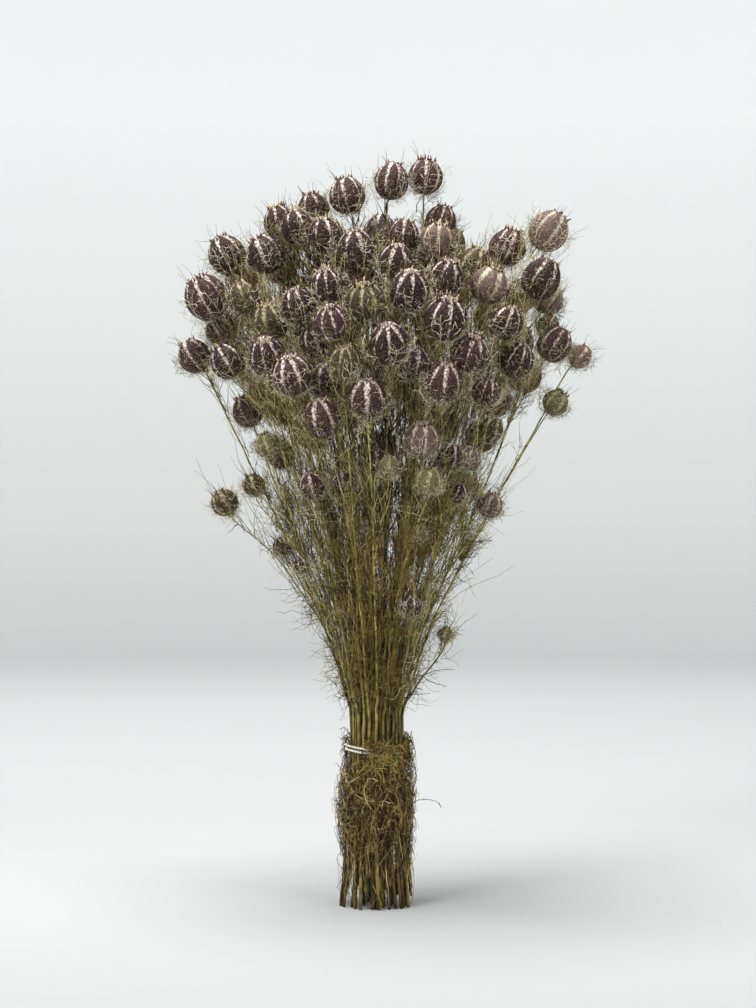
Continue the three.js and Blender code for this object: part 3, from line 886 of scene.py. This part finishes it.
def matStrand(start, heading, length, steps, wander, loose):
    point, points = start, [start]
    for _ in range(steps):
        heading = (heading.normalized() + anyDirection() * wander).normalized()
        point = point + heading * (length / steps)
        turn = math.atan2(point.y, point.x)
        reach = math.hypot(point.x, point.y)
        most = matReach(point.z, turn) + loose
        kept = max(matSizes["inner"], reach if reach < most else most + (reach - most) * 0.3)
        point = Vector((point.x * kept / reach, point.y * kept / reach, max(1 * mm, point.z)))
        points.append(point)
    return points


def matStart(lowest, likely, highest):
    turn = chance.uniform(0, 2 * math.pi)
    ragged = 2.4 * math.sin(2 * turn + 1) + 2 * math.sin(5 * turn)
    height = (chance.triangular(lowest, highest, likely) + ragged) * mm
    reach = matSizes["inner"] + (matReach(height, turn) - matSizes["inner"]) * chance.random() ** 0.7
    return Vector((reach * math.cos(turn), reach * math.sin(turn), height))


def growMat():
    threads = []
    for _ in range(matSizes["strands"]):
        start = matStart(12, 58, 94)
        upright = start.z < chance.uniform(20, 75) * mm
        heading = Vector((0, 0, chance.choice([-1, 1]))) * (2.2 if upright else 0.3) + anyDirection()
        length = chance.uniform(12, 34) * mm if upright else chance.uniform(6, 17) * mm
        loose = chance.random() ** 3 * matSizes["ragged"]
        points = matStrand(start, heading, length, 5, 0.4 if upright else 1.0, loose)
        if any(inWindow(point) for point in points) or points[-1].z > matSizes["top"]:
            continue
        isPlain = chance.random() < 0.92
        look = chance.choice([brownMat] * 4 + [oliveMat] * 3) if isPlain else tanMat
        threads.append((points, chance.uniform(0.11, 0.25) * mm, matSizes["strandTip"], look))
    for _ in range(matSizes["collar"]):
        start, heading, length = matStart(80, 92, 97), anyDirection(), chance.uniform(9, 22) * mm
        points = matStrand(start, heading, length, 5, 0.7, matSizes["collarLoose"])
        points = [pushOut(point, matSizes["overString"]) for point in points]
        if not any(inWindow(point) for point in points) and points[-1].z < matSizes["collarTop"]:
            thick = chance.uniform(0.15, 0.32) * mm
            look = chance.choice([brownMat, oliveMat, oliveMat])
            threads.append((points, thick, matSizes["strandTip"], look))
    for _ in range(matSizes["crossing"]):
        heading = anyDirection() + Vector((0, 0, chance.uniform(-0.5, 0.5)))
        start, length = matStart(20, 60, 94), chance.uniform(16, 40) * mm
        points = matStrand(start, heading, length, 8, 0.5, matSizes["crossingLoose"])
        points = [pushOut(point, matSizes["overMat"]) for point in points]
        if not any(inWindow(point) for point in points):
            thick = chance.uniform(0.2, 0.34) * mm
            threads.append((smoothPath(points, 2), thick, matSizes["crossingTip"], tanMat))
    return threads


mat = makeThreads("leaf_mat_strands", growMat(), matMaterials)
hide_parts("leaf_mat")
print("leaf mat laid")


# loose tendrils that stand off the foot and the neck, each as points across, back and up, in millimetres

tendrilSizes = {"root": 0.32 * mm, "tip": 0.12 * mm, "wobble": 0.35 * mm,
                "spur": 0.1 * mm, "spurTip": 0.05 * mm}
tendrilRoutes = [
    [(15, -8, 50), (19, -9, 58), (26, -9, 62), (33, -9, 61.5), (37, -8, 59.5)],
    [(36, -9, 60), (37.5, -9, 57)],
    [(14, -6, 119), (20, -7, 122), (26, -7, 122.5), (31, -7, 123)],
    [(19, -7, 122), (23, -8, 126), (27, -8, 125)],
    [(20, -5, 131), (28, -6, 134), (36, -6, 136.5), (45, -6, 137)],
    [(26, -6, 133), (33, -6, 129), (41, -5, 127)],
    [(-15, -6, 99), (-18, -6, 103), (-21, -6, 102)],
    [(-16, -6, 101), (-19, -7, 97), (-22, -7, 98)],
    [(-17, -8, 78), (-20, -8, 79), (-23, -8, 83)],
    [(-18, -9, 57), (-22, -9, 60), (-26, -9, 62.5)],
    [(16, -7, 45), (19, -8, 40), (20, -8, 35), (22, -8, 30)],
    [(18, -8, 41), (21, -8, 39), (23, -8, 37)],
    [(17, -4, 97), (21, -4, 94), (22.5, -4, 88), (20, -4, 82)],
    [(18, -2, 84), (22.5, -2, 79), (23, -2, 72), (20, -3, 66)],
    [(-17, -5, 132), (-22, -6, 139), (-26, -6, 148), (-31, -6, 155)],
]


def growTendrils():
    threads = []
    for route in tendrilRoutes:
        points = smoothPath([Vector(place) * mm for place in route], 5)
        for point in points[1:]:
            point += anyDirection() * tendrilSizes["wobble"]
        threads.append((points, tendrilSizes["root"], tendrilSizes["tip"], brownMat))
        for point in points[4::3]:
            spur = curlThread(point, anyDirection(), chance.uniform(1.5, 4) * mm, 2, 0.5)
            threads.append((spur, tendrilSizes["spur"], tendrilSizes["spurTip"], oliveMat))
    return threads


makeThreads("loose_tendrils", growTendrils(), matMaterials)
print("tendrils laid")


# the tie: two plies twisted together, twice round the bunch

tieSizes = {"reach": 17.6 * mm, "ply": 0.4 * mm, "twist": 0.34 * mm, "pitch": 2.3 * mm, "tilt": 0.15,
            "turns": 2, "plyTurns": 26, "steps": 300}


def makeTie():
    low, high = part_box("tie")
    middle = (low.z + high.z) / 2
    threads = []
    for ply in range(2):
        points = []
        for i in range(tieSizes["steps"] + 1):
            share = i / tieSizes["steps"]
            turn = math.pi * (0.5 + 2 * tieSizes["turns"] * share)
            lay = ply * math.pi + share * 2 * tieSizes["turns"] * math.pi * tieSizes["plyTurns"]
            reach = tieSizes["reach"] + tieSizes["twist"] * math.cos(lay)
            x, y = reach * math.cos(turn), reach * math.sin(turn)
            z = middle + (share - 0.5) * 2 * tieSizes["pitch"] + tieSizes["twist"] * math.sin(lay)
            z -= x * tieSizes["tilt"]
            points.append(Vector((x, y, z)))
        threads.append((points, tieSizes["ply"], tieSizes["ply"], 0))
    tie = makeThreads("tie_string", threads, [stringMaterial], stalkSection)
    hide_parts("tie")


makeTie()
for section in (hairSection, stalkSection):
    bpy.data.objects.remove(section)
print("tie wound")


# the stage: a pale round sweep, soft lights, and the camera in front

stageSizes = {"floorRadius": 2.2, "wallRadius": 3.0, "wallHeight": 2.6, "middle": 0.001,
              "bendSteps": 12, "sides": 96}
paperPaintedShade = {  # painted shade and light: by height, darker low down and lighter up the wall, and by distance from the near side to the far side, darker towards the near side
    "byHeight": [(0.0, (0.5, 0.51, 0.51)), (0.2, (0.58, 0.592, 0.588)), (0.95, (0.815, 0.84, 0.84))],
    "byDepth": [(0.2, 0.49), (1.0, 0.8)], "nearEdge": 1.0, "farStart": 0.4,
}
softLights = {
    "top_light": {"place": (-0.3, -0.2, 2.2), "target": (0, 0, 0.2), "size": 1.5, "power": 74},
    "front_left_light": {"place": (-1.5, -1.7, 1.4), "target": (0, 0, 0.25), "size": 1.2, "power": 40},
    "front_right_light": {"place": (1.7, -1.5, 1.0), "target": (0, 0, 0.25), "size": 1.4, "power": 20},
}
skyFacts = {"colour": (1.0, 1.0, 0.99, 1), "strength": 0.63}


def makeSweep():
    shape = bmesh.new()
    profile = [Vector((stageSizes["middle"], 0, 0)), Vector((stageSizes["floorRadius"], 0, 0))]
    corner = stageSizes["wallRadius"] - stageSizes["floorRadius"]
    for i in range(1, stageSizes["bendSteps"] + 1):
        turn = math.pi / 2 * i / stageSizes["bendSteps"]
        out = stageSizes["floorRadius"] + corner * math.sin(turn)
        profile.append(Vector((out, 0, corner * (1 - math.cos(turn)))))
    profile.append(Vector((stageSizes["wallRadius"], 0, stageSizes["wallHeight"])))
    verts = [shape.verts.new(point) for point in profile]
    edges = [shape.edges.new(pair) for pair in zip(verts, verts[1:])]
    bmesh.ops.spin(shape, geom=verts + edges, cent=(0, 0, 0), axis=(0, 0, 1), angle=2 * math.pi,
                   steps=stageSizes["sides"], use_merge=True)
    bmesh.ops.remove_doubles(shape, verts=shape.verts, dist=0.01 * mm)
    mesh = bpy.data.meshes.new("sweep")
    shape.to_mesh(mesh)
    shape.free()
    material, tree, shader = newMaterial("sweep_paper", 0.9)
    place = tree.nodes.new("ShaderNodeSeparateXYZ")
    tree.links.new(tree.nodes.new("ShaderNodeTexCoord").outputs["Object"], place.inputs["Vector"])
    # painted shade and light on the paper: darker low down, lighter up the wall, and darker on the floor
    # towards the near side, fading back past farStart
    paper = addRamp(tree, place.outputs["Z"], paperPaintedShade["byHeight"])
    fromNear = addMath(tree, "ADD", place.outputs["Y"], paperPaintedShade["nearEdge"])
    shade = addRamp(tree, fromNear, paperPaintedShade["byDepth"])
    pastStart = addMath(tree, "SUBTRACT", place.outputs["Y"], paperPaintedShade["farStart"])
    far = addRamp(tree, pastStart, [(0.0, 0.0), (1.0, 1.0)])
    paperWithPaintedShade = addMix(tree, far, addMix(tree, 1.0, paper, shade, "MULTIPLY"), paper)
    tree.links.new(paperWithPaintedShade, shader.inputs["Base Color"])
    mesh.materials.append(material)
    mesh.shade_smooth()
    sweep = bpy.data.objects.new("sweep", mesh)
    bpy.context.scene.collection.objects.link(sweep)


def addSoftLight(name, facts):
    light = bpy.data.lights.new(name, "AREA")
    light.size = facts["size"]
    light.energy = facts["power"]
    lamp = bpy.data.objects.new(name, light)
    lamp.location = facts["place"]
    aim = Vector(facts["target"]) - Vector(facts["place"])
    lamp.rotation_euler = aim.to_track_quat("-Z", "Y").to_euler()
    bpy.context.scene.collection.objects.link(lamp)


makeSweep()
for lightName, facts in softLights.items():
    addSoftLight(lightName, facts)
world = bpy.data.worlds.new("soft_sky")
world.use_nodes = True
world.node_tree.nodes["Background"].inputs["Color"].default_value = skyFacts["colour"]
world.node_tree.nodes["Background"].inputs["Strength"].default_value = skyFacts["strength"]
bpy.context.scene.world = world
bpy.context.scene.view_settings.view_transform = "Standard"

cameraFacts = {"distance": 1.35, "height": 0.2325, "side": 0.001, "lens": 83.0, "sensor": 36.0}
camera = bpy.data.objects.new("camera", bpy.data.cameras.new("camera"))
camera.data.lens = cameraFacts["lens"]
camera.data.sensor_width = cameraFacts["sensor"]
camera.location = (cameraFacts["side"], -cameraFacts["distance"], cameraFacts["height"])
camera.rotation_euler = (math.pi / 2, 0, 0)
bpy.context.scene.collection.objects.link(camera)
bpy.context.scene.camera = camera
print("stage, lights and camera set")
